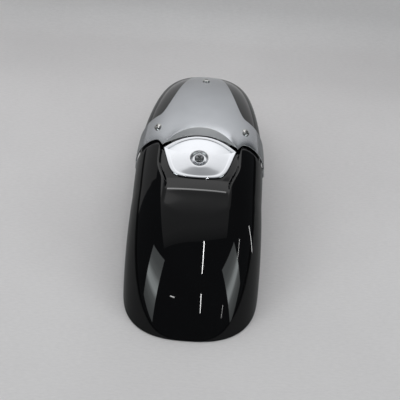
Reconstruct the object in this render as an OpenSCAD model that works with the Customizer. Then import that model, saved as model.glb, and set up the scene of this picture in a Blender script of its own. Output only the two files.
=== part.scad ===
// Motorcycle front fender: two moulded sections joined by a bright top cover,
// a dished centre cap and a steel stay that carries the fork mounts.
// The fender stands on its two tips. The nose points to -Y, the axle lies along X.

/* [Skin] */
// Radius of the crown line about the axle
crown_r = 350; // [330:1:370]
// Half width of the front section
front_half_w = 107; // [104:0.5:110]
// Half width at the tail
tail_half_w = 93; // [88:0.5:98]
// Extra swell of each flank half way down the nose
belly = 3; // [0:0.5:4]
// Drop from the crown to the start of the upright flank
shoulder_drop = 97; // [92:1:102]
// Drop from the crown to the lower edge of the skirt
skirt_depth = 140; // [136:1:150]
// Squareness of the rounded top, where 2 is an ellipse
squareness = 2.55; // [2.3:0.05:2.8]
// Angle from the top of the arch to each tip
tip_angle = 65.5; // [62:0.5:67]
// Height of the skirt's lower corner above the tips
corner_lift = 50; // [40:1:60]
// Thickness of the moulded sections
wall = 3; // [2.5:0.1:3.5]

/* [Front section] */
// Angle of the rear end of the two horns
horn_ang = 9.2; // [9:0.1:9.5]
// Angle of the notch between the horns
notch_ang = 22.2; // [22:0.1:23]
// Distance from the centre line to the middle of the notch's sides
notch_mid = 55; // [54:0.5:56]
// Softness of the notch's rounded corners
notch_soft = 5.3; // [5:0.1:6]
// Angle of the crease in front of the notch
crease_ang = 25.7; // [25:0.1:27]
// Depth of the trough at the crease
crease_depth = 4.6; // [4:0.1:5]
// Depth of the trough at the notch
notch_depth = 9; // [8:0.5:9.5]
// Half width of the trough's floor
trough_half_w = 48.5; // [46:0.5:50]
// Width of each side wall of the trough
trough_wall = 5.5; // [5:0.5:7]
// Angle over which the trough fades out towards the nose
trough_fade = 8; // [7:0.5:12]
// How far the rolled rear edge turns down
edge_roll = 1.3; // [1:0.1:1.6]
// How far the joggled flanges lie below the skin
flange_depth = 4; // [4:0.1:5]

/* [Top cover] */
// Gap between the cover and the skin
cover_gap = 0.8; // [0.7:0.1:1.2]
// Thickness of the cover
cover_t = 1.6; // [1.4:0.1:2]
// Angle of the end of the rear tongue
tongue_ang = -27; // [-30:0.5:-25]
// Half width of the tongue's straight end
tongue_flat = 24; // [20:1:28]
// Width of the curve from the tongue to the side bands
tongue_flare = 48; // [44:1:52]
// Angle of the rear edge of the side bands
band_ang = -0.6; // [-1:0.1:0]
// Gap between the side bands and the horns, as an angle
horn_gap = 0.3; // [0.3:0.05:0.5]
// Angle of the front edge of the cover on its centre line
brow_ang = 6.2; // [6:0.1:6.5]
// Height of the step behind the centre cap
step_h = 5.8; // [5.5:0.1:6.2]
// Share of the half section that a side band reaches down
band_reach = 0.69; // [0.66:0.01:0.72]

/* [Centre cap] */
// Angle of the cap's screw
cap_ang = 16; // [15.6:0.1:16.4]
// Half width of the cap
cap_half_w = 57.5; // [56:0.5:57.5]
// Angle of the cap's rear edge on its centre line
cap_rear_ang = 8.7; // [8.7:0.1:9]
// Depth of the cap below the skin, beside its screw
cap_level = 5.7; // [5.5:0.1:6]
// Thickness of the cap
cap_t = 2; // [1.6:0.1:2]
// Radius of the dimple round the screw
dimple_r = 17; // [15:0.5:17.5]

/* [Stay and mounts] */
// Thickness of the stay
stay_t = 3; // [2.5:0.1:4]
// Angle of the line of fork mounts
mount_ang = 6; // [5.5:0.1:6.5]
// Distance from the axle to the upper mounts
upper_mount_r = 256; // [254:1:258]
// Distance from the axle to the lower mounts
lower_mount_r = 222; // [221:1:224]
// Diameter of the fork bolt's hole
mount_bore = 8.5; // [8:0.1:9]

/* [Fasteners] */
// Diameter of the cap screw's head
cap_head_d = 15; // [14:0.5:16]
// Diameter of the heads of the cover screws
cover_head_d = 13; // [12:0.5:14]
// Distance of the side screws from the centre line
side_screw_x = 71; // [70:0.5:72]
// Angle of the side screws
side_screw_ang = 4.5; // [4:0.1:4.8]
// Angle of the tongue screw
tongue_screw_ang = -20.8; // [-22:0.1:-20]

/* [Hidden] */
$fn = 48;

// The inner edge of each tip rests on the ground, so the axle lies below it
axle_z = -(crown_r - wall) * cos(tip_angle);
// Share of the half section taken by the rounded top
flank_v = 0.82;
// The skin widens from the tail to the front section over these angles
widen_from = -35;
widen_over = 45;
// Middle and half length of the swelling of the flanks, as angles
belly_at = 46;
belly_reach = 22;
// Sharpness of the rounded corners at the tips
corner_power = 4.5;
// Angle over which an edge rolls down or a flange steps down
roll_run = 1.3;
joggle_run = 0.7;
// Ends of the front section's flange: under the cap, beside it and on the flanks
cap_flange_ang = 13.6;
side_flange_ang = 9;
flank_flange_ang = 2;
// Where the flange's end passes from one to the next: distance from the centre, width
side_flange_from = 36;
side_flange_over = 20;
flank_flange_from = 76;
flank_flange_over = 8;
// Overlap of the flange under the notch, and gap to the rear section's flange
least_flange = 0.9;
flange_gap = 0.5;
// Rear section's flange, which runs under the cover
rear_flange_ang = 6;
// Bow of the notch's front edge, reached at a distance from the centre line
notch_bow = 0.8;
notch_bow_at = 50;
// Cap: gap to the notch as an angle and as a share of the width, rise of its rear edge
// towards its ends, fall towards the nose, and share of the crown's drop that it keeps off
cap_gap = 0.25;
cap_side_gap = 0.025;
cap_rise = 3.8;
cap_fall = 0.034;
cap_flatness = 0.5;
// Growth of the trough towards the horns, and the same flatness of its floor
horn_spread = 13.5;
horn_spread_from = 24.5;
horn_spread_over = 8;
trough_flatness = 0.35;
// Rise of the brow from its middle to its ends, and half its width
brow_rise = 5.1;
brow_half_w = 57;
// Run of the step, as an angle
step_run = 2.1;
// Angle at which the columns of the grids are spaced
column_ang = 18.5;
// Grid of the cover: columns on each side of the centre
side_cols = 21;
// Columns of the moulded sections, closer along the notch's sides: ends of that stretch
// as shares of the half section, and the number of columns in each stretch
notch_cols_from = 0.2;
notch_cols_to = 0.36;
col_counts = [4, 6, 8, 3];
// Rows of the shells
flange_rows = 3;
nose_rows = 13;
horn_rows = 5;
tail_rows = 13;
cover_rows = 11;
// Stay: clearance under the flanges, ends of strap, ears and shelf
stay_gap = 0.4;
strap_from = 0.5;
strap_to = 7;
ear_to = 11;
shelf_to = 19;
shelf_v = 0.137;
shelf_web = 0.6;
ear_v = 0.78;
stay_depth = wall + flange_depth + stay_gap;
shelf_depth = notch_depth + stay_depth;
// Screw thread diameters
cap_thread_d = 8;
cover_thread_d = 6;
// Clearance round a screw or sleeve in its hole
hole_play = 0.6;
// Grommet and collar
collar_d = 12;
grommet_neck_d = 16;
grommet_flange_d = 22;
collar_flange_d = 18;
collar_flange_t = 2.5;
mount_proud = 2.4;

// Easing from 0 to 1 with level ends
function smooth(x) = let (t = min(max(x, 0), 1)) t * t * (3 - 2 * t);

function mix(a, b, t) = a + (b - a) * t;

// Half width of the skin at an angle from the top of the arch
function half_w(ang) =
    mix(tail_half_w, front_half_w, smooth((ang - widen_from) / widen_over))
    + belly * max(0, 1 - pow((ang - belly_at) / belly_reach, 2));

// Radius factor of the rounded top at an angle of its own section
function squircle(phi) =
    pow(pow(sin(phi), squareness) + pow(cos(phi), squareness), -1 / squareness);

// Section of the skin, v from -1 to 1 across: [distance from centre, radius]
function section(ang, v) =
    let (phi = 90 * min(abs(v) / flank_v, 1),
         q = squircle(phi),
         below = max(0, abs(v) - flank_v) / (1 - flank_v))
    [sign(v) * half_w(ang) * q * sin(phi),
     crown_r - shoulder_drop * (1 - q * cos(phi)) - (skirt_depth - shoulder_drop) * below];

// Point at a distance from the centre plane, a radius and an angle
function polar(x, r, ang) = [x, -r * sin(ang), axle_z + r * cos(ang)];

function skin(ang, v) = let (s = section(ang, v)) polar(s[0], s[1], ang);

// Outward normal of the skin
function skin_normal(ang, v) =
    let (along = skin(ang + 0.05, v) - skin(ang - 0.05, v),
         across = skin(ang, v + 0.002) - skin(ang, v - 0.002),
         n = cross(along, across))
    n / norm(n);

// Point of the skin sunk by a depth along the normal
function sunk(ang, v, depth) = skin(ang, v) - depth * skin_normal(ang, v);

// Angle of the trimmed lower edge at each tip
function tip_edge(v) =
    let (r = section(0, v)[1],
         rise = corner_lift * pow((crown_r - r) / skirt_depth, corner_power))
    acos((rise + crown_r * cos(tip_angle)) / r);

// Distance from the centre of a column of the front section
function column_x(v) = abs(section(column_ang, v)[0]);

// Visible rear edge of the front section: the notch and the horns
function notch_edge(x) =
    mix(horn_ang, notch_ang - notch_bow * pow(x / notch_bow_at, 2),
        1 / (1 + exp((x - notch_mid) / notch_soft)));

// Depth of the trough between the horns
function trough(ang, x) =
    let (rim = trough_half_w + horn_spread * smooth((horn_spread_from - ang) / horn_spread_over),
         behind = min(1, (crease_ang - ang) / (crease_ang - notch_ang)),
         bed = ang < crease_ang
             ? mix(crease_depth, notch_depth, behind)
             : crease_depth * (1 - smooth((ang - crease_ang) / trough_fade)),
         lift = trough_flatness * crown_drop(crease_ang, min(x, rim + trough_wall)))
    max(0, bed - lift) * (1 - smooth((x - rim) / trough_wall));

// Depth of the front section's surface, from its flange to the nose
function front_depth(ang, x) =
    let (edge = notch_edge(x),
         dip = trough(max(ang, edge), x),
         roll = edge_roll * (1 - dip / notch_depth)
             * (1 - smooth((ang - edge) / roll_run)))
    ang >= edge
        ? dip + roll
        : mix(dip + roll, dip + flange_depth, smooth((edge - ang) / joggle_run));

// Hidden end of the front section's flange
function front_flange_end(x) =
    min(mix(cap_flange_ang, side_flange_ang, smooth((x - side_flange_from) / side_flange_over))
        + (flank_flange_ang - side_flange_ang)
            * smooth((x - flank_flange_from) / flank_flange_over),
        notch_edge(x) - least_flange);

function rear_flange_end(x) = min(rear_flange_ang, front_flange_end(x) - flange_gap);

function rear_depth(ang) = flange_depth * smooth((ang - band_ang) / joggle_run);

// Rear and front edges of the top cover
function tongue_edge(x) =
    mix(tongue_ang, band_ang - 2 * (1 - min(x, 100) / 100),
        smooth((x - tongue_flat) / tongue_flare));

function brow_edge(x) =
    min(brow_ang + brow_rise * pow(x / brow_half_w, 2), notch_edge(x) - horn_gap);

// Values from a up to b in n even steps, without b
function stretch(a, b, n) = [for (i = [0 : n - 1]) mix(a, b, i / n)];

// Columns of the moulded sections, first on one side and then on both
half_columns = concat(
    stretch(0, notch_cols_from, col_counts[0]),
    stretch(notch_cols_from, notch_cols_to, col_counts[1]),
    stretch(notch_cols_to, flank_v, col_counts[2]),
    stretch(flank_v, 1, col_counts[3]),
    [1]);
section_columns = concat([for (i = [len(half_columns) - 1 : -1 : 1]) -half_columns[i]], half_columns);

// Steps from 0 to 1 in n rows
function steps(n) = [for (i = [0 : n]) i / n];

function columns(reach) = [for (i = [-side_cols : side_cols]) reach * i / side_cols];

// Closed shell from two grids of equal size, outer and inner
module shell(outer, inner) {
    rows = len(outer);
    cols = len(outer[0]);
    count = rows * cols;
    points = [for (r = outer) each r, for (r = inner) each r];
    function at(i, j) = i * cols + j;
    top = [for (i = [0 : rows - 2], j = [0 : cols - 2])
        each [[at(i, j), at(i, j + 1), at(i + 1, j + 1)], [at(i, j), at(i + 1, j + 1), at(i + 1, j)]]];
    bottom = [for (f = top) [f[0] + count, f[2] + count, f[1] + count]];
    rim = concat(
        [for (j = [0 : cols - 2]) [at(0, j), at(0, j + 1)]],
        [for (i = [0 : rows - 2]) [at(i, cols - 1), at(i + 1, cols - 1)]],
        [for (j = [cols - 1 : -1 : 1]) [at(rows - 1, j), at(rows - 1, j - 1)]],
        [for (i = [rows - 1 : -1 : 1]) [at(i, 0), at(i - 1, 0)]]);
    edge = [for (e = rim)
        each [[e[1], e[0], e[0] + count], [e[1], e[0] + count, e[1] + count]]];
    polyhedron(points, concat(top, bottom, edge));
}

// The row of the crease bends back on the flanks, where the skirt ends sooner
function crease_row(edge, tip) = min(crease_ang, mix(edge, tip, 0.5));

// Angles of one column of the front section, from its flange to the nose
function front_stations(v) =
    let (x = column_x(v), edge = notch_edge(x), tip = tip_edge(v))
    [for (t = steps(flange_rows)) mix(front_flange_end(x), edge - joggle_run, t),
     edge,
     for (t = steps(horn_rows)) mix(edge + roll_run, crease_row(edge, tip), t),
     for (i = [1 : nose_rows]) mix(crease_row(edge, tip), tip, i / nose_rows)];

function rear_stations(v) =
    let (x = column_x(v))
    [for (t = steps(flange_rows)) mix(rear_flange_end(x), band_ang + joggle_run, t),
     band_ang,
     for (i = [1 : tail_rows]) mix(band_ang, -tip_edge(v), i / tail_rows)];

module front_fender() {
    vs = section_columns;
    angs = [for (v = vs) front_stations(v)];
    rows = len(angs[0]);
    grid = function (extra) [for (i = [0 : rows - 1]) [for (j = [0 : len(vs) - 1])
        sunk(angs[j][i], vs[j], front_depth(angs[j][i], column_x(vs[j])) + extra)]];
    color([0.05, 0.05, 0.06]) difference() {
        shell(grid(0), grid(wall));
        on_skin(cap_ang, 0) drill(cap_thread_d + hole_play);
        mount_holes(grommet_neck_d + hole_play);
    }
}

module rear_fender() {
    vs = section_columns;
    angs = [for (v = vs) rear_stations(v)];
    rows = len(angs[0]);
    grid = function (extra) [for (i = [0 : rows - 1]) [for (j = [0 : len(vs) - 1])
        sunk(angs[j][i], vs[j], rear_depth(angs[j][i]) + extra)]];
    color([0.05, 0.05, 0.06]) difference() {
        shell(grid(wall), grid(0));
        for (s = [-1, 1]) on_skin(side_screw_ang, s * side_screw_x) drill(cover_thread_d + hole_play);
        on_skin(tongue_screw_ang, 0) drill(cover_thread_d + hole_play);
    }
}

// Cover: the tongue, the side bands and the step down to the cap
module top_cover() {
    vs = columns(band_reach);
    lens = function (v, power) max(0, 1 - pow(column_x(v) / (brow_half_w + 1), power));
    body = function (extra) [for (t = steps(cover_rows)) [for (v = vs)
        let (x = column_x(v))
        sunk(mix(tongue_edge(x), brow_edge(x), t), v, extra - cover_gap - cover_t)]];
    step = function (extra, t) [for (v = vs)
        sunk(brow_edge(column_x(v)) + (0.12 + step_run * lens(v, 2)) * t, v,
            extra - cover_gap - cover_t + (0.4 + step_h * lens(v, 4)) * t)];
    color([0.72, 0.74, 0.76]) difference() {
        shell(
            concat(body(0), [step(0, 0.5), step(0, 1)]),
            concat(body(cover_t), [step(cover_t, 0.35), step(cover_t, 0.8)]));
        for (s = [-1, 1]) on_skin(side_screw_ang, s * side_screw_x) drill(cover_thread_d + hole_play);
        on_skin(tongue_screw_ang, 0) drill(cover_thread_d + hole_play);
    }
}

// Cap outline about its screw: [x, distance forward]. It runs along the cover's step at
// the rear and inside the notch at the front.
function cap_outline(a) =
    let (x = cap_half_w * sin(a),
         rear = cap_rear_ang + cap_rise * pow(x / brow_half_w, 2),
         front = max(rear, notch_edge(abs(x) * (1 + cap_side_gap)) - cap_gap),
         ang = cos(a) < 0 ? rear : front)
    [x, (ang - cap_ang) * crown_r * PI / 180];

// Point over [x, distance forward of the cap screw], sunk by a depth below the skin.
// Towards the outline, at a share of 1, the cap falls to the nose and stays flatter.
function on_cap(p, depth, share) =
    let (ang = cap_ang + p[1] / crown_r * 180 / PI,
         drop = crown_drop(ang, p[0]),
         level = depth + share * (cap_fall * p[1] - cap_flatness * drop))
    polar(p[0], crown_r - drop - level, ang);

// Depth of the crown below the crown line at a distance from the centre
function crown_drop(ang, x) =
    shoulder_drop * (1 - pow(1 - pow(abs(x) / half_w(ang), squareness), 1 / squareness));

// Rings of the cap: share of the way from the dimple to the outline, radius, depth
cap_rings = [
    [0, cap_thread_d / 2 + 0.5, 3.5],
    [0, dimple_r * 0.55, 3.5],
    [0, dimple_r * 0.68, 2.9],
    [0, dimple_r * 0.86, 0.5],
    [0, dimple_r, 0.1],
    [0.4, dimple_r, 0.5],
    [0.78, dimple_r, 0.7],
    [0.83, dimple_r, 0.1],
    [0.96, dimple_r, -0.2],
    [1, dimple_r, 0.3]
];

module centre_cap() {
    spokes = 48;
    place = function (ring, i) let (a = 360 * i / spokes,
        out = cap_outline(a),
        way = out / norm(out))
        mix(way * ring[1], out, ring[0]);
    level = function (extra) [for (ring = cap_rings) [for (i = [0 : spokes - 1])
        on_cap(place(ring, i), cap_level + ring[2] + extra, ring[0])]];
    outer = level(0);
    inner = level(cap_t);
    rings = len(cap_rings);
    count = rings * spokes;
    function at(k, i) = k * spokes + i % spokes;
    skin_faces = [for (k = [0 : rings - 2], i = [0 : spokes - 1])
        each [[at(k, i), at(k + 1, i), at(k + 1, i + 1)], [at(k, i), at(k + 1, i + 1), at(k, i + 1)]]];
    back_faces = [for (f = skin_faces) [f[0] + count, f[2] + count, f[1] + count]];
    rims = [for (i = [0 : spokes - 1]) each [
        [at(rings - 1, i), at(rings - 1, i) + count, at(rings - 1, i + 1) + count],
        [at(rings - 1, i), at(rings - 1, i + 1) + count, at(rings - 1, i + 1)],
        [at(0, i), at(0, i + 1) + count, at(0, i) + count],
        [at(0, i), at(0, i + 1), at(0, i + 1) + count]]];
    color([0.86, 0.87, 0.88])
        polyhedron([for (r = outer) each r, for (r = inner) each r],
            concat(skin_faces, back_faces, rims));
}

// Carries its children to the skin, +Z outwards
module on_skin(ang, x) {
    tilt = atan2(crown_drop(ang, abs(x) + 0.1) - crown_drop(ang, abs(x) - 0.1), 0.2);
    translate([0, 0, axle_z]) rotate([ang, 0, 0])
        translate([x, 0, crown_r - crown_drop(ang, x)])
            rotate([0, x == 0 ? 0 : sign(x) * tilt, 0]) children();
}

module drill(d) {
    cylinder(h = 60, d = d, center = true);
}

module mount_holes(d) {
    for (r = [upper_mount_r, lower_mount_r]) translate([0, 0, axle_z]) rotate([mount_ang, 0, 0])
        translate([0, 0, r]) rotate([0, 90, 0]) cylinder(h = 3 * front_half_w, d = d, center = true);
}

// Pan head with a cross recess and a plain shank, seated on z = 0
module cross_screw(head_d, head_h, thread_d, length) {
    slot = head_d * 0.13;
    difference() {
        union() {
            rotate_extrude() polygon([
                [0, 0], [head_d / 2, 0], [head_d / 2, head_h * 0.35],
                for (a = [20 : 14 : 76]) [head_d / 2 * cos(a), head_h * (0.35 + 0.65 * sin(a))],
                [0, head_h]]);
            translate([0, 0, -length]) cylinder(h = length + 0.1, d = thread_d);
        }
        for (a = [0, 90]) rotate([0, 0, a + 45])
            translate([-head_d * 0.24, -slot / 2, head_h * 0.45]) cube([head_d * 0.48, slot, head_h]);
    }
}

module ring(h, outer_d, inner_d) {
    difference() {
        cylinder(h = h, d = outer_d);
        translate([0, 0, -1]) cylinder(h = h + 2, d = inner_d);
    }
}

// Hexagon nut whose top face is at z = 0, screwed onto the shank
module hex_nut(thread_d) {
    across = thread_d * 1.65;
    h = thread_d * 0.8;
    translate([0, 0, -h]) difference() {
        cylinder(h = h, d = across / cos(30), $fn = 6);
        translate([0, 0, -1]) cylinder(h = h + 2, d = thread_d);
    }
}

// Depths along the cap screw and the side screws, below the skin
cap_seat = cap_level + 3.5;
cap_washer_t = 1;
shelf_back = shelf_depth + stay_t;
strap_back = stay_depth + stay_t;

module cap_screw() {
    color([0.62, 0.63, 0.65]) on_skin(cap_ang, 0) translate([0, 0, cap_washer_t - cap_seat])
        cross_screw(cap_head_d, 5, cap_thread_d, shelf_back - cap_seat + cap_washer_t + 7.5);
}

// Cupped washer between the cap and its screw
module cap_washer() {
    cup_d = cap_head_d + 1.4;
    color([0.8, 0.81, 0.83]) on_skin(cap_ang, 0) translate([0, 0, -cap_seat])
        rotate_extrude() polygon([
            [cap_thread_d / 2 + 0.2, 0], [cup_d / 2, 0], [cup_d / 2 + 0.8, 0.8],
            [cup_d / 2 + 0.8, 2.2], [cup_d / 2, 2.2], [cup_d / 2, cap_washer_t],
            [cap_thread_d / 2 + 0.2, cap_washer_t]]);
}

module cap_nut() {
    color([0.55, 0.56, 0.58]) on_skin(cap_ang, 0) translate([0, 0, -shelf_back - 0.15])
        hex_nut(cap_thread_d);
}

module side_screw(s) {
    top = cover_gap + cover_t + 0.15;
    color([0.62, 0.63, 0.65]) on_skin(side_screw_ang, s * side_screw_x) translate([0, 0, top])
        cross_screw(cover_head_d, 4.2, cover_thread_d, top + strap_back + 8);
}

// Rubber sleeve that fills the space between the cover and the rear flange
module side_spacer(s) {
    low = -flange_depth + 0.15;
    high = cover_gap - 0.65;
    color([0.12, 0.12, 0.12]) on_skin(side_screw_ang, s * side_screw_x) translate([0, 0, low])
        ring(high - low, 16, cover_thread_d);
}

module side_nut(s) {
    color([0.55, 0.56, 0.58]) on_skin(side_screw_ang, s * side_screw_x)
        translate([0, 0, -strap_back - 1.2]) hex_nut(cover_thread_d);
}

module tongue_screw() {
    color([0.62, 0.63, 0.65]) on_skin(tongue_screw_ang, 0)
        translate([0, 0, cover_gap + cover_t + 0.05])
            cross_screw(cover_head_d, 3.6, cover_thread_d, cover_gap + cover_t + wall + 8);
}

module tongue_spacer() {
    color([0.12, 0.12, 0.12]) on_skin(tongue_screw_ang, 0) translate([0, 0, 0.1])
        ring(cover_gap - 0.4, 14, cover_thread_d);
}

module tongue_nut() {
    color([0.55, 0.56, 0.58]) on_skin(tongue_screw_ang, 0) translate([0, 0, -wall - 0.3])
        hex_nut(cover_thread_d);
}

// Section of the stay, a strip at a depth below the skin from v = from to v = to
function stay_strip(from, to, depth) =
    [for (i = [0 : 24]) let (
        v = mix(from, to, i / 24),
        p = section(strap_from, v),
        t = section(strap_from, v + 0.002) - section(strap_from, v - 0.002),
        n = [-t[1], t[0]] / norm(t))
        [p[1] - depth * n[1], p[0] - depth * n[0]]];

// Sweeps a section given as [radius, x] about the axle between two angles
module sweep_about_axle(from, to) {
    translate([0, 0, axle_z]) rotate([0, 90, 0]) rotate([0, 0, 180 + from])
        rotate_extrude(angle = to - from, $fn = 720) children();
}

// The same strip as a closed outline, from one depth down to another
function stay_outline(from, to, top, bottom) =
    let (outer = stay_strip(from, to, top), inner = stay_strip(from, to, bottom))
    concat(outer, [for (i = [len(inner) - 1 : -1 : 0]) inner[i]]);

module fender_stay() {
    color([0.16, 0.16, 0.17]) difference() {
        union() {
            sweep_about_axle(strap_from, strap_to)
                polygon(stay_outline(-1, 1, stay_depth, strap_back));
            for (s = [0, 1]) mirror([s, 0, 0]) sweep_about_axle(strap_to - 0.01, ear_to)
                polygon(stay_outline(ear_v, 1, stay_depth, strap_back));
            sweep_about_axle(strap_to - shelf_web, shelf_to)
                polygon(stay_outline(-shelf_v, shelf_v, shelf_depth, shelf_back));
            sweep_about_axle(strap_to - shelf_web, strap_to)
                polygon(stay_outline(-shelf_v, shelf_v, stay_depth + 0.5, shelf_back));
        }
        on_skin(cap_ang, 0) drill(cap_thread_d);
        for (s = [-1, 1]) on_skin(side_screw_ang, s * side_screw_x) drill(cover_thread_d);
        mount_holes(collar_d + 0.2);
    }
}

// Faces of the mounts, as distances from the centre plane
flange_face = half_w(mount_ang) - flange_depth;
stay_face = half_w(strap_from) - stay_depth;
collar_face = half_w(mount_ang) + mount_proud;

// Carries its children to a mount, +Z outwards along the bolt's axis
module at_mount(s, r) {
    translate([0, 0, axle_z]) rotate([mount_ang, 0, 0]) translate([0, 0, r])
        rotate([0, s * 90, 0]) children();
}

module grommet(s, r) {
    in_face = flange_face - wall - 0.35;
    out_face = collar_face - collar_flange_t;
    color([0.12, 0.12, 0.12]) at_mount(s, r) rotate_extrude() polygon([
        [collar_d / 2, stay_face + 0.05], [grommet_flange_d / 2 - 3, stay_face + 0.05],
        [grommet_flange_d / 2 - 3, in_face], [grommet_neck_d / 2, in_face],
        [grommet_neck_d / 2, flange_face + 0.05], [8, flange_face + 0.05],
        [8, out_face], [collar_d / 2, out_face]]);
}

// Steel collar with the fork bolt's bore
module collar(s, r) {
    color([0.55, 0.56, 0.58]) at_mount(s, r) difference() {
        union() {
            translate([0, 0, stay_face - stay_t])
                cylinder(h = collar_face - stay_face + stay_t, d = collar_d);
            translate([0, 0, collar_face - collar_flange_t])
                cylinder(h = collar_flange_t, d = collar_flange_d);
        }
        translate([0, 0, stay_face - stay_t - 1])
            cylinder(h = collar_face - stay_face + stay_t + 2, d = mount_bore);
    }
}

front_fender();
rear_fender();
top_cover();
centre_cap();
cap_washer();
cap_screw();
cap_nut();
side_screw(1);  // side_screw_left
side_screw(-1);  // side_screw_right
side_spacer(1);  // side_spacer_left
side_spacer(-1);  // side_spacer_right
side_nut(1);  // side_nut_left
side_nut(-1);  // side_nut_right
tongue_screw();
tongue_spacer();
tongue_nut();
fender_stay();
grommet(1, upper_mount_r);  // upper_grommet_left
grommet(-1, upper_mount_r);  // upper_grommet_right
grommet(1, lower_mount_r);  // lower_grommet_left
grommet(-1, lower_mount_r);  // lower_grommet_right
collar(1, upper_mount_r);  // upper_collar_left
collar(-1, upper_mount_r);  // upper_collar_right
collar(1, lower_mount_r);  // lower_collar_left
collar(-1, lower_mount_r);  // lower_collar_right
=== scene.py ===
# Looks of the motorcycle front fender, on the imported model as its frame.
import math

import bmesh
import bpy
import numpy as np
from mathutils import Matrix, Vector


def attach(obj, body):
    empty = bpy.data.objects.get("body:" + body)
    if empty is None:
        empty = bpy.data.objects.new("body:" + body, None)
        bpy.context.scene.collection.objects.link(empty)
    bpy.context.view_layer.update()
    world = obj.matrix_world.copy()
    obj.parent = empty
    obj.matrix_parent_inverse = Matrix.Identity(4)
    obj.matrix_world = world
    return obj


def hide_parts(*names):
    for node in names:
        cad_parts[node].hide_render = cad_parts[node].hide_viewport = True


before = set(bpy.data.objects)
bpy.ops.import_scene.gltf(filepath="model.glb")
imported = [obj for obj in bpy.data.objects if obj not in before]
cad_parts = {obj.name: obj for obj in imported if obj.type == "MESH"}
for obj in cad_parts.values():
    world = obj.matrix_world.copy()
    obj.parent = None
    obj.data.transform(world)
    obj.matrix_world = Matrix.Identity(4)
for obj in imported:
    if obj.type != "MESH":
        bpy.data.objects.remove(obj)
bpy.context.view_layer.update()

MM = 0.001

# Form of the skin. All forms have the source's values, in mm and degrees, unless said
CROWN_R = 350.0
FRONT_HALF_W = 107.0
TAIL_HALF_W = 93.0
BELLY = 3.0
BELLY_AT = 46.0
BELLY_REACH = 22.0
SHOULDER_DROP = 97.0
SKIRT_DEPTH = 140.0
SQUARENESS = 2.55
TIP_ANGLE = 65.5
CORNER_LIFT = 50.0
CORNER_POWER = 4.5
WALL = 3.0
FLANK_V = 0.82
WIDEN_FROM = -35.0
WIDEN_OVER = 45.0
AXLE_Z = -(CROWN_R - WALL) * math.cos(math.radians(TIP_ANGLE))

# Front section
HORN_ANG = 9.2
NOTCH_ANG = 22.2
NOTCH_MID = 55.0
NOTCH_SOFT = 5.3
NOTCH_BOW = 0.8
NOTCH_BOW_AT = 50.0
CREASE_ANG = 25.7
CREASE_DEPTH = 4.6
NOTCH_DEPTH = 9.0
TROUGH_HALF_W = 48.5
TROUGH_WALL = 5.5
TROUGH_FADE = 8.0
TROUGH_FLATNESS = 0.35
HORN_SPREAD = 13.5
HORN_SPREAD_FROM = 24.5
HORN_SPREAD_OVER = 8.0
COLUMN_ANG = 18.5
EDGE_ROLL = 1.3
ROLL_RUN = 1.3
FLANGE_DEPTH = 4.0
JOGGLE_RUN = 0.7

# Hidden ends of the two flanges: under the cap, beside it and on the flanks, and where
# one passes into the next
CAP_FLANGE_ANG = 13.6
SIDE_FLANGE_ANG = 9.0
FLANK_FLANGE_ANG = 2.0
SIDE_FLANGE_FROM = 36.0
SIDE_FLANGE_OVER = 20.0
FLANK_FLANGE_FROM = 76.0
FLANK_FLANGE_OVER = 8.0
LEAST_FLANGE = 0.9
REAR_FLANGE_ANG = 6.0
FLANGE_GAP = 0.5

# Top cover
COVER_GAP = 0.8
COVER_T = 1.6
TONGUE_ANG = -27.0
TONGUE_FLAT = 24.0
TONGUE_FLARE = 48.0
BAND_ANG = -0.6
BAND_SWEEP = 2.0
BAND_SWEEP_TO = 100.0
HORN_GAP = 0.3
BROW_ANG = 6.2
BROW_RISE = 5.1
BROW_HALF_W = 57.0
STEP_H = 5.8
STEP_RUN = 2.1
STEP_HALF_W = BROW_HALF_W + 1
STEP_LEAST_H = 0.4
STEP_LEAST_RUN = 0.12
STEP_BACK_SHARE = 0.85
BAND_REACH = 0.69

# Centre cap. Its rim lies closer to the notch than in the source, whose grid is coarser
CAP_ANG = 16.0
CAP_HALF_W = 59.0
CAP_REAR_ANG = 8.7
CAP_LEVEL = 5.7
CAP_T = 2.0
CAP_GAP = 0.15
CAP_SIDE_GAP = 0.008
CAP_RISE = 3.8
CAP_FALL = 0.034
CAP_FLATNESS = 0.5
DIMPLE_R = 17.0
CAP_THREAD_D = 8.0

# Holes
COVER_THREAD_D = 6.0
HOLE_PLAY = 0.6
SIDE_SCREW_X = 71.0
SIDE_SCREW_ANG = 4.5
TONGUE_SCREW_ANG = -20.8
MOUNT_ANG = 6.0
UPPER_MOUNT_R = 256.0
LOWER_MOUNT_R = 222.0
GROMMET_NECK_D = 16.0
DRILL = 60.0
HOLE_SEGMENTS = 40

# Grids, finer than in the source. Columns on each side: ends of the stretches as shares
# of the half section, and the number of columns in each stretch
COLUMN_MARKS = [0, 0.2, 0.4, FLANK_V, 1]
COLUMN_COUNTS = [24, 56, 40, 12]
# Rows in each stretch, from the flange or the tongue's end to the tip or the brow
FRONT_ROWS = [5, 4, 8, 24, 1, 66]
REAR_ROWS = [5, 4, 80]
COVER_ROWS = [70, 2]
STEP_ROWS = 12
PROFILE_ROWS = 5
SPOKES = 240

# Looks of the edges: rounded rims, and angles in degrees that shade as sharp
RIM = 0.7
CAP_RIM = 0.5
RIM_SEGMENTS = 3
RIM_FROM_ANG = 60
MOULDED_SHARP_ANG = 32
PRESSED_SHARP_ANG = 50
CAD_SHARP_ANG = 28
STAGE_SHARP_ANG = 60
# Polished row along the crease: half its angle, and half its width
GLINT_ANG = 0.22
GLINT_HALF_W = TROUGH_HALF_W - 1

# Order of the materials on a shell
INNER_SLOT = 1
ACCENT_SLOT = 2

# Short steps over which slopes are taken: an angle, a share of the half section, a length
ANG_STEP = 0.05
V_STEP = 0.002
X_STEP = 0.1


def smooth(x):
    t = np.clip(x, 0, 1)
    return t * t * (3 - 2 * t)


def mix(a, b, t):
    return a + (b - a) * t


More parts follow.
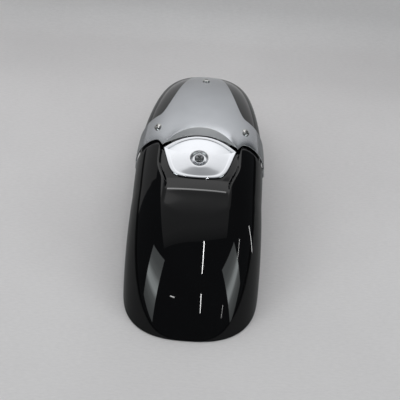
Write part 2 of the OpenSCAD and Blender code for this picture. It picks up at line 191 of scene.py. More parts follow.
def half_w(ang):
    widening = smooth((ang - WIDEN_FROM) / WIDEN_OVER)
    swell = np.maximum(0, 1 - ((ang - BELLY_AT) / BELLY_REACH) ** 2)
    return mix(TAIL_HALF_W, FRONT_HALF_W, widening) + BELLY * swell


def section(ang, v):
    """Distance from the centre plane and radius about the axle."""
    phi = np.radians(90) * np.minimum(np.abs(v) / FLANK_V, 1)
    s = np.sin(phi)
    c = np.maximum(np.cos(phi), 0)
    q = (s ** SQUARENESS + c ** SQUARENESS) ** (-1 / SQUARENESS)
    below = np.maximum(0, np.abs(v) - FLANK_V) / (1 - FLANK_V)
    drop = SHOULDER_DROP * (1 - q * c) + (SKIRT_DEPTH - SHOULDER_DROP) * below
    return np.sign(v) * half_w(ang) * q * s, CROWN_R - drop


def polar(x, r, ang):
    t = np.radians(ang)
    return np.stack([x, -r * np.sin(t), AXLE_Z + r * np.cos(t)], -1)


def skin(ang, v):
    x, r = section(ang, v)
    return polar(x, r, ang)


def skin_normal(ang, v):
    along = skin(ang + ANG_STEP, v) - skin(ang - ANG_STEP, v)
    across = skin(ang, v + V_STEP) - skin(ang, v - V_STEP)
    n = np.cross(along, across)
    return n / np.linalg.norm(n, axis=-1, keepdims=True)


def sunk(ang, v, depth):
    """Points of the skin sunk by a depth along its normal."""
    return skin(ang, v) - np.asarray(depth)[..., None] * skin_normal(ang, v)


def tip_edge(v):
    r = section(0.0, v)[1]
    rise = CORNER_LIFT * ((CROWN_R - r) / SKIRT_DEPTH) ** CORNER_POWER
    return np.degrees(np.arccos((rise + CROWN_R * math.cos(math.radians(TIP_ANGLE))) / r))


def column_x(v):
    return np.abs(section(COLUMN_ANG, v)[0])


def notch_edge(x):
    inside = 1 / (1 + np.exp((x - NOTCH_MID) / NOTCH_SOFT))
    return mix(HORN_ANG, NOTCH_ANG - NOTCH_BOW * (x / NOTCH_BOW_AT) ** 2, inside)


def trough(ang, x):
    rim = TROUGH_HALF_W + HORN_SPREAD * smooth((HORN_SPREAD_FROM - ang) / HORN_SPREAD_OVER)
    behind = np.minimum(1, (CREASE_ANG - ang) / (CREASE_ANG - NOTCH_ANG))
    ahead = CREASE_DEPTH * (1 - smooth((ang - CREASE_ANG) / TROUGH_FADE))
    bed = np.where(ang < CREASE_ANG, mix(CREASE_DEPTH, NOTCH_DEPTH, behind), ahead)
    lift = TROUGH_FLATNESS * crown_drop(CREASE_ANG, np.minimum(x, rim + TROUGH_WALL))
    return np.maximum(0, bed - lift) * (1 - smooth((x - rim) / TROUGH_WALL))


def front_depth(ang, x):
    edge = notch_edge(x)
    dip = trough(np.maximum(ang, edge), x)
    roll = EDGE_ROLL * (1 - dip / NOTCH_DEPTH) * (1 - smooth((ang - edge) / ROLL_RUN))
    flange = mix(dip + roll, dip + FLANGE_DEPTH, smooth((edge - ang) / JOGGLE_RUN))
    return np.where(ang >= edge, dip + roll, flange)


def front_flange_end(x):
    inner = mix(CAP_FLANGE_ANG, SIDE_FLANGE_ANG, smooth((x - SIDE_FLANGE_FROM) / SIDE_FLANGE_OVER))
    back = SIDE_FLANGE_ANG - FLANK_FLANGE_ANG
    on_flank = smooth((x - FLANK_FLANGE_FROM) / FLANK_FLANGE_OVER)
    return np.minimum(inner - back * on_flank, notch_edge(x) - LEAST_FLANGE)


def rear_flange_end(x):
    return np.minimum(REAR_FLANGE_ANG, front_flange_end(x) - FLANGE_GAP)


def rear_depth(ang):
    return FLANGE_DEPTH * smooth((ang - BAND_ANG) / JOGGLE_RUN)


def tongue_edge(x):
    band = BAND_ANG - BAND_SWEEP * (1 - np.minimum(x, BAND_SWEEP_TO) / BAND_SWEEP_TO)
    return mix(TONGUE_ANG, band, smooth((x - TONGUE_FLAT) / TONGUE_FLARE))


def brow_edge(x):
    return np.minimum(BROW_ANG + BROW_RISE * (x / BROW_HALF_W) ** 2, notch_edge(x) - HORN_GAP)


def crown_drop(ang, x):
    share = (np.abs(x) / half_w(ang)) ** SQUARENESS
    return SHOULDER_DROP * (1 - (1 - share) ** (1 / SQUARENESS))


def stations(marks, counts):
    """Rows of angles through the marks (one array each), with a count of rows per stretch."""
    places = [0.0]
    for k, count in enumerate(counts):
        places += [k + (i + 1) / count for i in range(count)]
    at = np.array(places)
    low = np.minimum(at.astype(int), len(marks) - 2)
    part = (at - low)[:, None]
    marks = np.array(marks)
    return mix(marks[low], marks[low + 1], part)


# Meshes
def finish_mesh(mesh, materials, sharp=MOULDED_SHARP_ANG):
    for m in materials:
        mesh.materials.append(m)
    mesh.polygons.foreach_set("use_smooth", np.ones(len(mesh.polygons), bool))
    mesh.set_sharp_from_angle(angle=math.radians(sharp))
    mesh.update()


def add_piece(name, mesh, node):
    piece = bpy.data.objects.new(name, mesh)
    bpy.context.scene.collection.objects.link(piece)
    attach(piece, "root")
    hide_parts(node)
    return piece


def shell_mesh(name, outer, inner, closed=False):
    """Closed mesh from two grids of points in mm, with its own material inside."""
    rows, cols = outer.shape[:2]
    count = rows * cols
    points = np.concatenate([outer.reshape(-1, 3), inner.reshape(-1, 3)]) * MM
    at = np.arange(count).reshape(rows, cols)
    if closed:
        at = np.concatenate([at, at[:, :1]], 1)
    a, b = at[:-1, :-1], at[:-1, 1:]
    c, d = at[1:, 1:], at[1:, :-1]
    top = np.stack([a, b, c, d], -1).reshape(-1, 4)
    back = top[:, ::-1] + count
    loops = [at[0], at[-1][::-1]]
    if not closed:
        loops += [at[:, -1], at[:, 0][::-1]]
    rims = [np.stack([e[1:], e[:-1], e[:-1] + count, e[1:] + count], -1) for e in loops]
    faces = np.concatenate([top, back] + rims)
    mesh = bpy.data.meshes.new(name)
    mesh.from_pydata(points.tolist(), [], faces.tolist())
    slots = np.zeros(len(faces), np.int32)
    slots[len(top):2 * len(top)] = INNER_SLOT
    mesh.polygons.foreach_set("material_index", slots)
    bm = bmesh.new()
    bm.from_mesh(mesh)
    bmesh.ops.recalc_face_normals(bm, faces=bm.faces)
    bm.to_mesh(mesh)
    bm.free()
    return mesh


def accent(mesh, faces):
    """Gives faces the shell's third material."""
    for face in faces:
        mesh.polygons[face].material_index = ACCENT_SLOT


def apply_modifiers(piece):
    graph = bpy.context.evaluated_depsgraph_get()
    mesh = bpy.data.meshes.new_from_object(piece.evaluated_get(graph))
    old = piece.data
    name = old.name
    piece.modifiers.clear()
    piece.data = mesh
    bpy.data.meshes.remove(old)
    mesh.name = name


def round_rims(piece, width):
    bevel = piece.modifiers.new("rim", "BEVEL")
    bevel.width = width * MM
    bevel.segments = RIM_SEGMENTS
    bevel.limit_method = "ANGLE"
    bevel.angle_limit = math.radians(RIM_FROM_ANG)
    bevel.use_clamp_overlap = True
    apply_modifiers(piece)


def wheel_frame(ang):
    """Placing matrix at the axle, turned so that +Z points to an angle round the wheel."""
    return Matrix.Translation((0, 0, AXLE_Z * MM)) @ Matrix.Rotation(math.radians(ang), 4, "X")


def skin_frame(ang, x):
    """Placing matrix at a point of the skin, +Z outwards."""
    drop = crown_drop(ang, x)
    fall = crown_drop(ang, abs(x) + X_STEP) - crown_drop(ang, abs(x) - X_STEP)
    lean = math.copysign(math.atan2(fall, 2 * X_STEP), x) if x else 0.0
    return (wheel_frame(ang) @ Matrix.Translation((x * MM, 0, (CROWN_R - drop) * MM))
            @ Matrix.Rotation(lean, 4, "Y"))


def mount_frame(r):
    """Placing matrix on the mount's line at a radius about the axle, +Z to the side."""
    return (wheel_frame(MOUNT_ANG) @ Matrix.Translation((0, 0, r * MM))
            @ Matrix.Rotation(math.radians(90), 4, "Y"))


def bore(piece, places):
    """Cuts round holes; each place is (matrix, diameter, length) in mm."""
    bm = bmesh.new()
    for matrix, diameter, length in places:
        bmesh.ops.create_cone(bm, cap_ends=True, segments=HOLE_SEGMENTS, radius1=diameter / 2 * MM,
                              radius2=diameter / 2 * MM, depth=length * MM, matrix=matrix)
    tool_mesh = bpy.data.meshes.new("bore_tool")
    bm.to_mesh(tool_mesh)
    bm.free()
    tool = bpy.data.objects.new("bore_tool", tool_mesh)
    bpy.context.scene.collection.objects.link(tool)
    cut = piece.modifiers.new("bore", "BOOLEAN")
    cut.object = tool
    cut.operation = "DIFFERENCE"
    cut.solver = "EXACT"
    apply_modifiers(piece)
    bpy.data.objects.remove(tool)
    bpy.data.meshes.remove(tool_mesh)


# Materials
def new_material(name):
    mat = bpy.data.materials.new(name)
    mat.use_nodes = True
    tree = mat.node_tree
    return mat, tree, tree.nodes["Principled BSDF"]


def add_noise(tree, scale, detail, rough=0.5):
    where = tree.nodes.new("ShaderNodeTexCoord")
    noise = tree.nodes.new("ShaderNodeTexNoise")
    noise.inputs["Scale"].default_value = scale
    noise.inputs["Detail"].default_value = detail
    noise.inputs["Roughness"].default_value = rough
    tree.links.new(where.outputs["Object"], noise.inputs["Vector"])
    return noise.outputs["Fac"]


def add_range(tree, value, low, high, to_low=0.0, to_high=1.0):
    """Spreads a value from one range over another."""
    step = tree.nodes.new("ShaderNodeMapRange")
    step.inputs["From Min"].default_value = low
    step.inputs["From Max"].default_value = high
    step.inputs["To Min"].default_value = to_low
    step.inputs["To Max"].default_value = to_high
    tree.links.new(value, step.inputs["Value"])
    return step.outputs["Result"]


def add_tint(tree, value, low, high):
    ramp = tree.nodes.new("ShaderNodeMix")
    ramp.data_type = "RGBA"
    ramp.inputs["A"].default_value = (*low, 1)
    ramp.inputs["B"].default_value = (*high, 1)
    tree.links.new(value, ramp.inputs["Factor"])
    return ramp.outputs["Result"]


def add_bump(tree, shader, height, strength, distance):
    bump = tree.nodes.new("ShaderNodeBump")
    bump.inputs["Strength"].default_value = strength
    bump.inputs["Distance"].default_value = distance
    tree.links.new(height, bump.inputs["Height"])
    tree.links.new(bump.outputs["Normal"], shader.inputs["Normal"])


def surface(name, dark, light, roughness, blotch, grain, bump, depth=0.00005,
            metallic=0.0, ior=1.5):
    """Material whose tint and roughness drift in soft blotches, with a fine grain."""
    mat, tree, shader = new_material(name)
    shader.inputs["Metallic"].default_value = metallic
    shader.inputs["IOR"].default_value = ior
    blotches = add_noise(tree, blotch, 4.0, 0.6)
    tint = add_tint(tree, add_range(tree, blotches, 0.35, 0.65), dark, light)
    tree.links.new(tint, shader.inputs["Base Color"])
    rough = add_range(tree, blotches, 0.3, 0.7, roughness[0], roughness[1])
    tree.links.new(rough, shader.inputs["Roughness"])
    add_bump(tree, shader, add_noise(tree, grain, 2.0), bump, depth)
    return mat


def metal(name, dark, light, roughness, blotch, grain, bump):
    """Surface of bare or plated metal."""
    return surface(name, dark, light, roughness, blotch, grain, bump, metallic=1.0)


PAINT_TINTS = ((0.0014, 0.0014, 0.0017), (0.0022, 0.0022, 0.0026))
gloss_black = surface("gloss_black_paint", *PAINT_TINTS, (0.02, 0.035),
                      blotch=9.0, grain=300.0, bump=0.02, depth=0.00002)
crease_black = surface("polished_crease", *PAINT_TINTS, (0.05, 0.08),
                       blotch=9.0, grain=300.0, bump=0.02, depth=0.00002, ior=3.0)
inner_black = surface("moulded_black_plastic", (0.012, 0.012, 0.013), (0.02, 0.02, 0.021),
                      (0.5, 0.62), blotch=40.0, grain=1800.0, bump=0.25, depth=0.0001)
satin_chrome = metal("satin_chrome", (0.585, 0.605, 0.635), (0.645, 0.665, 0.695),
                     (0.15, 0.2), blotch=16.0, grain=700.0, bump=0.02)
blasted_chrome = metal("blasted_chrome", (0.66, 0.675, 0.69), (0.70, 0.715, 0.73),
                       (0.36, 0.42), blotch=16.0, grain=700.0, bump=0.03)
dimple_chrome = metal("dimple_chrome", (0.74, 0.75, 0.77), (0.80, 0.81, 0.83),
                      (0.26, 0.32), blotch=16.0, grain=700.0, bump=0.02)
raw_chrome = metal("unpolished_back", (0.30, 0.30, 0.31), (0.38, 0.38, 0.39),
                   (0.4, 0.5), blotch=30.0, grain=1200.0, bump=0.1)
cap_chrome = metal("polished_chrome", (0.70, 0.715, 0.745), (0.74, 0.755, 0.785),
                   (0.04, 0.07), blotch=20.0, grain=500.0, bump=0.01)
dark_screw = metal("dark_plated_steel", (0.16, 0.165, 0.17), (0.24, 0.245, 0.25),
                   (0.22, 0.32), blotch=160.0, grain=3000.0, bump=0.05)
bright_screw = metal("bright_plated_steel", (0.68, 0.68, 0.67), (0.78, 0.78, 0.76),
                     (0.14, 0.22), blotch=160.0, grain=3000.0, bump=0.05)
zinc_steel = metal("zinc_plated_steel", (0.42, 0.43, 0.44), (0.52, 0.53, 0.54),
                   (0.3, 0.4), blotch=120.0, grain=2500.0, bump=0.08)
stay_black = surface("black_powder_coat", (0.014, 0.014, 0.015), (0.02, 0.02, 0.022),
                     (0.36, 0.46), blotch=60.0, grain=1600.0, bump=0.3, depth=0.0001)
black_rubber = surface("black_rubber", (0.012, 0.012, 0.012), (0.022, 0.022, 0.021),
                       (0.6, 0.75), blotch=90.0, grain=2200.0, bump=0.2, depth=0.0001)

CAD_LOOKS = {
    "cap_washer": cap_chrome,
    "cap_screw": dark_screw,
    "side_screw": bright_screw,
    "tongue_screw": bright_screw,
    "cap_nut": zinc_steel,
    "side_nut": zinc_steel,
    "tongue_nut": zinc_steel,
    "upper_collar": zinc_steel,
    "lower_collar": zinc_steel,
    "fender_stay": stay_black,
    "side_spacer": black_rubber,
    "tongue_spacer": black_rubber,
    "upper_grommet": black_rubber,
    "lower_grommet": black_rubber,
}
for node_name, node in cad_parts.items():
    for start, look in CAD_LOOKS.items():
        if node_name.startswith(start):
            node.data.materials.clear()
            node.data.materials.append(look)
            node.data.set_sharp_from_angle(angle=math.radians(CAD_SHARP_ANG))

# Columns that the shells share, and the lines along which their rows run
stretches = zip(COLUMN_MARKS, COLUMN_MARKS[1:], COLUMN_COUNTS)
half = np.concatenate([np.linspace(a, b, count + 1)[:-1] for a, b, count in stretches] + [[1.0]])
vs = np.concatenate([-half[:0:-1], half])
xs = column_x(vs)
edges = notch_edge(xs)
tips = tip_edge(vs)
crease = np.minimum(CREASE_ANG, mix(edges, tips, 0.5))

# Front section
front_ang = stations(
    [front_flange_end(xs), edges - JOGGLE_RUN, edges, edges + ROLL_RUN, crease - GLINT_ANG,
     crease + GLINT_ANG, tips], FRONT_ROWS)
front_d = front_depth(front_ang, xs)
front_mesh = shell_mesh("front_shell", sunk(front_ang, vs, front_d), sunk(front_ang, vs, front_d + WALL))
# The polished row is the fifth stretch
rows_before = sum(FRONT_ROWS[:4])
accent(front_mesh, rows_before * (len(vs) - 1) + np.flatnonzero(xs[1:] < GLINT_HALF_W))
finish_mesh(front_mesh, [gloss_black, inner_black, crease_black])
front_shell = add_piece("front_shell", front_mesh, "front_fender")
round_rims(front_shell, RIM)

# Rear section
rear_ang = stations(
    [rear_flange_end(xs), np.full_like(xs, BAND_ANG + JOGGLE_RUN), np.full_like(xs, BAND_ANG), -tips],
    REAR_ROWS)
rear_d = rear_depth(rear_ang)
rear_mesh = shell_mesh("rear_shell", sunk(rear_ang, vs, rear_d), sunk(rear_ang, vs, rear_d + WALL))
finish_mesh(rear_mesh, [gloss_black, inner_black])
rear_shell = add_piece("rear_shell", rear_mesh, "rear_fender")
round_rims(rear_shell, RIM)

# Top cover: the pressing up to its brow, and the step that falls from the brow to the cap
cover_vs = vs * BAND_REACH
cover_xs = column_x(cover_vs)
brow = brow_edge(cover_xs)
cover_ang = stations([tongue_edge(cover_xs), brow - STEP_LEAST_RUN, brow], COVER_ROWS)
cover_flat = np.zeros_like(cover_ang)


def lens(power):
    """One in the middle of the step, falling to nothing at its ends."""
    return np.maximum(0, 1 - (cover_xs / STEP_HALF_W) ** power)


def step_rows(shares, top):
    ang = brow + (STEP_LEAST_RUN + STEP_RUN * lens(2)) * shares[:, None]
    fall = (STEP_LEAST_H + STEP_H * lens(4)) * shares[:, None]
    return sunk(ang, cover_vs, top - COVER_GAP - COVER_T + fall)


shares = np.linspace(0, 1, STEP_ROWS + 1)[1:]
cover_top = np.concatenate([sunk(cover_ang, cover_vs, cover_flat - COVER_GAP - COVER_T),
                            step_rows(shares, 0)])
cover_back = np.concatenate([sunk(cover_ang, cover_vs, cover_flat - COVER_GAP),
                             step_rows(shares * STEP_BACK_SHARE, COVER_T)])
cover_mesh = shell_mesh("chrome_cover", cover_top, cover_back)
accent(cover_mesh, range((len(cover_ang) - 1) * (len(vs) - 1), (len(cover_top) - 1) * (len(vs) - 1)))
finish_mesh(cover_mesh, [satin_chrome, raw_chrome, blasted_chrome], sharp=PRESSED_SHARP_ANG)
chrome_cover = add_piece("chrome_cover", cover_mesh, "top_cover")
round_rims(chrome_cover, RIM)

# Centre cap
# Profile from the screw hole to the rim: share of the way to the outline, radius, depth
CAP_PROFILE = [
    (0, CAP_THREAD_D / 2 + 0.5, 3.5),
    (0, DIMPLE_R * 0.55, 3.5),
    (0, DIMPLE_R * 0.68, 2.9),
    (0, DIMPLE_R * 0.86, 0.5),
    (0, DIMPLE_R, 0.1),
    (0.4, DIMPLE_R, 0.5),
    (0.78, DIMPLE_R, 0.7),
    (0.83, DIMPLE_R, 0.1),
    (0.96, DIMPLE_R, -0.2),
    (1, DIMPLE_R, 0.3),
]


def rounded(points, rows):
    """Even rows along a curve that passes smoothly through the points."""
    p = np.array(points, float)
    p = np.concatenate([2 * p[:1] - p[1:2], p, 2 * p[-1:] - p[-2:-1]])
    out = []
    for k in range(1, len(p) - 2):
        for i in range(rows):
            t = i / rows
            out.append(0.5 * (2 * p[k] + (p[k + 1] - p[k - 1]) * t
                              + (2 * p[k - 1] - 5 * p[k] + 4 * p[k + 1] - p[k + 2]) * t ** 2
                              + (3 * p[k] - p[k - 1] - 3 * p[k + 1] + p[k + 2]) * t ** 3))
    out.append(p[-2])
    return np.array(out)


spoke = np.radians(np.linspace(0, 360, SPOKES + 1)[:-1])
cap_x = CAP_HALF_W * np.sin(spoke)
cap_rear = CAP_REAR_ANG + CAP_RISE * (cap_x / BROW_HALF_W) ** 2
cap_front = np.maximum(cap_rear, notch_edge(np.abs(cap_x) * (1 + CAP_SIDE_GAP)) - CAP_GAP)
cap_edge = np.where(np.cos(spoke) < 0, cap_rear, cap_front)
outline = np.stack([cap_x, np.radians(cap_edge - CAP_ANG) * CROWN_R], -1)
way = outline / np.linalg.norm(outline, axis=-1, keepdims=True)


def cap_points(profile, extra):
    """Grid of the cap's points, each row of the profile a ring, sunk by an extra depth."""
    share = profile[:, 0, None]
    place = mix(way[None] * profile[:, 1, None, None], outline[None], share[..., None])
    ang = CAP_ANG + np.degrees(place[..., 1] / CROWN_R)
    drop = crown_drop(ang, place[..., 0])
    tilt = share * (CAP_FALL * place[..., 1] - CAP_FLATNESS * drop)
    depth = CAP_LEVEL + profile[:, 2, None] + extra + tilt
    return polar(place[..., 0], CROWN_R - drop - depth, ang)


profile = rounded(CAP_PROFILE, PROFILE_ROWS)
profile[:, 0] = np.clip(profile[:, 0], 0, 1)
cap_mesh = shell_mesh("dished_cap", cap_points(profile, 0), cap_points(profile, CAP_T), closed=True)
# The dimple ends at the profile's fifth point
accent(cap_mesh, range((4 * PROFILE_ROWS - 1) * SPOKES))
finish_mesh(cap_mesh, [cap_chrome, raw_chrome, dimple_chrome], sharp=PRESSED_SHARP_ANG)
dished_cap = add_piece("dished_cap", cap_mesh, "centre_cap")
round_rims(dished_cap, CAP_RIM)

# Holes through the shells
screw_hole = COVER_THREAD_D + HOLE_PLAY
cover_holes = [(skin_frame(SIDE_SCREW_ANG, s * SIDE_SCREW_X), screw_hole, DRILL) for s in (-1, 1)]
cover_holes.append((skin_frame(TONGUE_SCREW_ANG, 0.0), screw_hole, DRILL))
cap_hole = (skin_frame(CAP_ANG, 0.0), CAP_THREAD_D + HOLE_PLAY, DRILL)
mount_holes = [(mount_frame(r), GROMMET_NECK_D + HOLE_PLAY, 3 * FRONT_HALF_W)
               for r in (UPPER_MOUNT_R, LOWER_MOUNT_R)]
bore(front_shell, [cap_hole] + mount_holes)
bore(rear_shell, cover_holes)
bore(chrome_cover, cover_holes)

# Stage: a roll of paper that comes down behind the fender, with plain ground round it
PAPER_HALF_W = 0.72
PAPER_FRONT = -0.80
WALL_Y = 0.60
WALL_BEND = 0.07
WALL_TOP = 0.95
WALL_LEAN = 0.02
BEND_ROWS = 8
# Painted shade: the paper's colour is darkened over this span of Y and stays darker behind it, up the wall
FOLD_FROM = 0.35
FOLD_TO = 0.43
FOLD_SHADE_TONE = 0.95
WEAVE_SCALE = (110.0, 330.0, 330.0)
WEAVE_TONE = 0.95
GROUND_HALF = 4.0
GROUND_Z = -0.002
# Tones of the floor in mirror rays, and of the ground for the camera and for other rays
FLOOR_GLOSS_TONE = 0.3
GROUND_SEEN = (0.47, 0.468, 0.47)
GROUND_TONE = (0.05, 0.05, 0.05)


def add_stage(name, verts, faces, *materials):
    """Stage piece; with two materials the first face gets the second one."""
    mesh = bpy.data.meshes.new(name)
    mesh.from_pydata(verts, [], faces)
    mesh.polygons[0].material_index = len(materials) - 1
    finish_mesh(mesh, materials, sharp=STAGE_SHARP_ANG)
    piece = bpy.data.objects.new(name, mesh)
    bpy.context.scene.collection.objects.link(piece)
    return piece


def paper_outline():
    """Side view of the roll as (y, z), from the front of the floor to the wall's top."""
    line = [(PAPER_FRONT, 0.0), (WALL_Y - WALL_BEND, 0.0)]
    for k in range(1, BEND_ROWS + 1):
        a = math.radians(90 * k / BEND_ROWS)
        line.append((WALL_Y - WALL_BEND + WALL_BEND * math.sin(a), WALL_BEND * (1 - math.cos(a))))
    line.append((WALL_Y + WALL_LEAN, WALL_TOP))
    return line


def mix_shaders(tree, factor, first, second, output):
    """Leads two shaders to an output, the second one where the factor is one."""
    choice = tree.nodes.new("ShaderNodeMixShader")
    tree.links.new(factor, choice.inputs["Fac"])
    tree.links.new(first, choice.inputs[1])
    tree.links.new(second, choice.inputs[2])
    tree.links.new(choice.outputs["Shader"], output)


def surface_output(tree):
    return tree.nodes["Material Output"].inputs["Surface"]


def camera_tone(material, seen, other):
    """Shows one plain tone to the camera and a diffuse one to every other ray."""
    tree = material.node_tree
    path = tree.nodes.new("ShaderNodeLightPath")
    glow = tree.nodes.new("ShaderNodeEmission")
    glow.inputs["Color"].default_value = (*seen, 1)
    rest = tree.nodes.new("ShaderNodeBsdfDiffuse")
    rest.inputs["Color"].default_value = (*other, 1)
    mix_shaders(tree, path.outputs["Is Camera Ray"], rest.outputs["BSDF"], glow.outputs["Emission"],
                surface_output(tree))


def dim_in_gloss(material, tone):
    """Gives mirror rays a darker diffuse tone, all other rays the material itself."""
    tree = material.node_tree
    path = tree.nodes.new("ShaderNodeLightPath")
    dark = tree.nodes.new("ShaderNodeBsdfDiffuse")
    dark.inputs["Color"].default_value = (tone, tone, tone, 1)
    mix_shaders(tree, path.outputs["Is Glossy Ray"], tree.nodes["Principled BSDF"].outputs["BSDF"],
                dark.outputs["BSDF"], surface_output(tree))


def clear_from_behind(material):
    """Lets a camera behind the material look through it."""
    tree = material.node_tree
    where = tree.nodes.new("ShaderNodeNewGeometry")
    path = tree.nodes.new("ShaderNodeLightPath")
    both = tree.nodes.new("ShaderNodeMath")
    both.operation = "MULTIPLY"
    tree.links.new(where.outputs["Backfacing"], both.inputs[0])
    tree.links.new(path.outputs["Is Camera Ray"], both.inputs[1])
    clear = tree.nodes.new("ShaderNodeBsdfTransparent")
    mix_shaders(tree, both.outputs["Value"], tree.nodes["Principled BSDF"].outputs["BSDF"],
                clear.outputs["BSDF"], surface_output(tree))


def multiply_tint(tree, shader, factor, tone):
    """Multiplies the base colour by a grey tone where the factor is one."""
    blend = tree.nodes.new("ShaderNodeMix")
    blend.data_type = "RGBA"
    blend.blend_type = "MULTIPLY"
    blend.inputs["B"].default_value = (tone, tone, tone, 1)
    tree.links.new(shader.inputs["Base Color"].links[0].from_socket, blend.inputs["A"])
    tree.links.new(factor, blend.inputs["Factor"])
    tree.links.new(blend.outputs["Result"], shader.inputs["Base Color"])


def paper_material(name):
    """Pale woven paper, with painted shade that darkens it behind its fold."""
    mat = surface(name, (0.755, 0.738, 0.742), (0.79, 0.773, 0.777), (0.7, 0.8),
                  blotch=3.0, grain=260.0, bump=0.3, depth=0.0006)
    tree = mat.node_tree
    shader = tree.nodes["Principled BSDF"]
    where = tree.nodes.new("ShaderNodeTexCoord")
    part = tree.nodes.new("ShaderNodeSeparateXYZ")
    tree.links.new(where.outputs["Object"], part.inputs["Vector"])
    # Painted shade: the base colour is darkened behind the fold
    multiply_tint(tree, shader, add_range(tree, part.outputs["Y"], FOLD_FROM, FOLD_TO), FOLD_SHADE_TONE)
    stretch = tree.nodes.new("ShaderNodeMapping")
    stretch.inputs["Scale"].default_value = WEAVE_SCALE
    threads = tree.nodes.new("ShaderNodeTexNoise")
    threads.inputs["Scale"].default_value = 1.0
    tree.links.new(where.outputs["Object"], stretch.inputs["Vector"])
    tree.links.new(stretch.outputs["Vector"], threads.inputs["Vector"])
    multiply_tint(tree, shader, add_range(tree, threads.outputs["Fac"], 0.3, 0.7), WEAVE_TONE)
    return mat


paper = paper_material("pale_paper")
clear_from_behind(paper)
floor_paper = paper_material("pale_floor_paper")
dim_in_gloss(floor_paper, FLOOR_GLOSS_TONE)
paper_rows = paper_outline()
add_stage("paper_roll", [(s * PAPER_HALF_W, y, z) for y, z in paper_rows for s in (-1, 1)],
          [(2 * k, 2 * k + 1, 2 * k + 3, 2 * k + 2) for k in range(len(paper_rows) - 1)],
          paper, floor_paper)
ground = new_material("plain_ground")[0]
camera_tone(ground, GROUND_SEEN, GROUND_TONE)
ground_corners = [(x * GROUND_HALF, y * GROUND_HALF, GROUND_Z)
                  for x, y in ((-1, -1), (1, -1), (1, 1), (-1, 1))]
add_stage("ground", ground_corners, [(0, 1, 2, 3)], ground)

# Light: places in metres, radiance as the tone that a mirror shows
AIM = Vector((0.0, -0.15, 0.12))
CEILING = 1.5
BOX_FAR = 1.8
BOX_TINT = (0.93, 1.0, 1.0)
# Share of the way along a lamp, and its level there: from the ceiling panel's front edge
# to its back edge, from a box's foot to its top, and down from the top of the wall
PANEL_LEVELS = [(0.0, 0.07), (0.023, 0.10), (0.06, 0.14), (0.095, 0.17), (0.127, 0.20), (0.19, 0.21),
                (0.305, 0.23), (0.39, 0.27), (0.45, 0.34), (0.486, 0.39), (0.51, 0.50), (0.53, 0.76),
                (0.56, 0.88), (0.65, 1.0), (0.74, 1.22), (0.90, 1.2), (0.94, 0.95), (1.0, 0.85)]
BOX_LEVELS = [(0.0, 0.8), (0.18, 1.1), (0.34, 1.7), (0.44, 4.6), (0.54, 4.2), (0.66, 1.8),
              (0.82, 1.2), (1.0, 1.1)]
GLOW_LEVELS = [(0.0, 0.28), (0.35, 0.28), (0.65, 0.17), (1.0, 0.0)]
PANEL_SIZE = (2.12, 2.20)
PANEL_AT = (-0.13, -0.03, CEILING)
PANEL_TURN = 10.0
GLOW_SIZE = (1.44, 0.83)
GLOW_BEFORE_WALL = 0.01


def around(azimuth, elevation, far=BOX_FAR):
    """Point about the fender: azimuth from +Y towards +X and elevation, in degrees."""
    a = math.radians(azimuth)
    e = math.radians(elevation)
    return AIM + Vector((math.sin(a) * math.cos(e), math.cos(a) * math.cos(e), math.sin(e))) * far


def area_light(name, matrix, size, radiance, glossy=True, diffuse=True):
    lamp = bpy.data.lights.new(name, "AREA")
    lamp.shape = "RECTANGLE"
    lamp.size, lamp.size_y = size
    lamp.energy = radiance * math.pi * size[0] * size[1]
    lamp_object = bpy.data.objects.new(name, lamp)
    bpy.context.scene.collection.objects.link(lamp_object)
    lamp_object.matrix_world = matrix
    lamp_object.visible_camera = False
    lamp_object.visible_glossy = glossy
    lamp_object.visible_diffuse = diffuse
    return lamp


def soft_box(name, place, size, radiance, turn=0.0, roll=0.0):
    """Rectangular lamp that faces the fender, then turned about its upright and rolled."""
    facing = (AIM - place).to_track_quat("-Z", "Y").to_matrix().to_4x4()
    own = Matrix.Rotation(math.radians(turn), 4, "Y") @ Matrix.Rotation(math.radians(roll), 4, "Z")
    return area_light(name, Matrix.Translation(place) @ facing @ own, size, radiance)


def tube(name, start, end, width, radiance, diffuse=True):
    """Thin lamp from one point to another, facing the fender."""
    start = Vector(start)
    end = Vector(end)
    middle = (start + end) / 2
    along = (end - start).normalized()
    back = (middle - AIM).normalized()
    across = along.cross(back).normalized()
    turn = Matrix((across, along, across.cross(along))).transposed().to_4x4()
    return area_light(name, Matrix.Translation(middle) @ turn, (width, (end - start).length),
                      radiance, diffuse=diffuse)


def shade_along(lamp, levels):
    """Level of a lamp along its own Y, as a soft gradient."""
    lamp.use_nodes = True
    tree = lamp.node_tree
    where = tree.nodes.new("ShaderNodeNewGeometry")
    part = tree.nodes.new("ShaderNodeSeparateXYZ")
    ramp = tree.nodes.new("ShaderNodeValToRGB")
    tree.links.new(where.outputs["Parametric"], part.inputs["Vector"])
    tree.links.new(part.outputs["Y"], ramp.inputs["Fac"])
    points = ramp.color_ramp.elements
    for place, level in levels[1:-1]:
        points.new(place)
    top = max(level for place, level in levels)
    for point, (place, level) in zip(points, levels):
        point.position = place
        point.color = (level / top, level / top, level / top, 1)
    glow = tree.nodes["Emission"]
    glow.inputs["Strength"].default_value = top
    tree.links.new(ramp.outputs["Color"], glow.inputs["Color"])


panel_place = Matrix.Translation(PANEL_AT) @ Matrix.Rotation(math.radians(PANEL_TURN), 4, "Z")
shade_along(area_light("ceiling_panel", panel_place, PANEL_SIZE, radiance=1.0), PANEL_LEVELS)

box_left = soft_box("softbox_left", around(-130, 18), (0.92, 1.13), radiance=1.0, turn=35)
box_right = soft_box("softbox_right", around(122.4, 17), (0.98, 1.12), radiance=1.0, turn=-35, roll=12)
for box in (box_left, box_right):
    box.color = BOX_TINT
    shade_along(box, BOX_LEVELS)

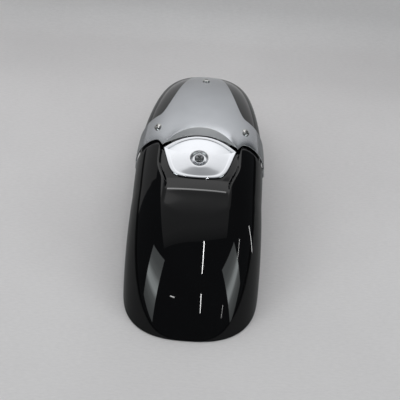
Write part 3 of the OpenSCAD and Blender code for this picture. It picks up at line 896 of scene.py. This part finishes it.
glow_at = (0.0, WALL_Y - GLOW_BEFORE_WALL, WALL_TOP - GLOW_SIZE[1] / 2)
glow_place = Matrix.Translation(glow_at) @ Matrix.Rotation(math.radians(-90), 4, "X")
shade_along(area_light("wall_glow", glow_place, GLOW_SIZE, radiance=1.0), GLOW_LEVELS)
soft_box("dim_wall_left", around(-56, 14, far=2.2), (1.1, 1.9), radiance=0.28)
area_light("fill_from_above", Matrix.Translation((0.0, 0.1, 2.0)), (5.0, 5.0), radiance=0.36, glossy=False)

tube("tube_near", (0.17, -1.10, CEILING), (0.23, -2.00, CEILING), width=0.016, radiance=45.0)
tube("tube_far", (0.33, -3.03, CEILING), (0.55, -5.21, CEILING), width=0.034, radiance=30.0)
tube("tube_side", (2.74, -0.66, CEILING), (3.21, -1.35, CEILING), width=0.028, radiance=18.0)
tube("tube_low", around(144.8, 11.9), around(147.7, 5.0), width=0.012, radiance=14.0)
tube("dash_left", around(-163.5, 20.4), around(-168.5, 20.4), width=0.02, radiance=12.0)
tube("strip_side", (0.57, -0.07, 0.01), (0.57, -0.07, 0.19), width=0.008, radiance=14.0, diffuse=False)

# Room: a dim one that lights, and a plain pale one that the camera sees
ROOM_TINT = (0.8, 0.85, 0.9, 1)
ROOM_LEVEL = 0.08
ROOM_SEEN = (0.475, 0.475, 0.478, 1)
world = bpy.data.worlds.new("dim_room")
world.use_nodes = True
room = world.node_tree
dim = room.nodes["Background"]
dim.inputs["Color"].default_value = ROOM_TINT
dim.inputs["Strength"].default_value = ROOM_LEVEL
pale = room.nodes.new("ShaderNodeBackground")
pale.inputs["Color"].default_value = ROOM_SEEN
ray = room.nodes.new("ShaderNodeLightPath")
mix_shaders(room, ray.outputs["Is Camera Ray"], dim.outputs["Background"], pale.outputs["Background"],
            room.nodes["World Output"].inputs["Surface"])
bpy.context.scene.world = world

# Camera, fitted to the outline in the photograph: place in metres, directions, length in pixels
CAMERA_AT = (0.027836, -1.287006, 1.143409)
VIEW = Vector((-0.01456938, 0.75180267, -0.65922719))
UP = Vector((-0.06805339, 0.65702281, 0.75079276))
FOCAL_PX = 954.87
IMAGE_PX = 400
SENSOR_MM = 36.0
CLIP_START = 0.05
camera = bpy.data.cameras.new("studio_camera")
camera.sensor_width = SENSOR_MM
camera.lens = SENSOR_MM * FOCAL_PX / IMAGE_PX
camera.clip_start = CLIP_START
camera_object = bpy.data.objects.new("studio_camera", camera)
bpy.context.scene.collection.objects.link(camera_object)
turned = Matrix((VIEW.cross(UP), UP, -VIEW)).transposed().to_4x4()
camera_object.matrix_world = Matrix.Translation(CAMERA_AT) @ turned
bpy.context.scene.camera = camera_object
bpy.context.scene.view_settings.view_transform = "Standard"
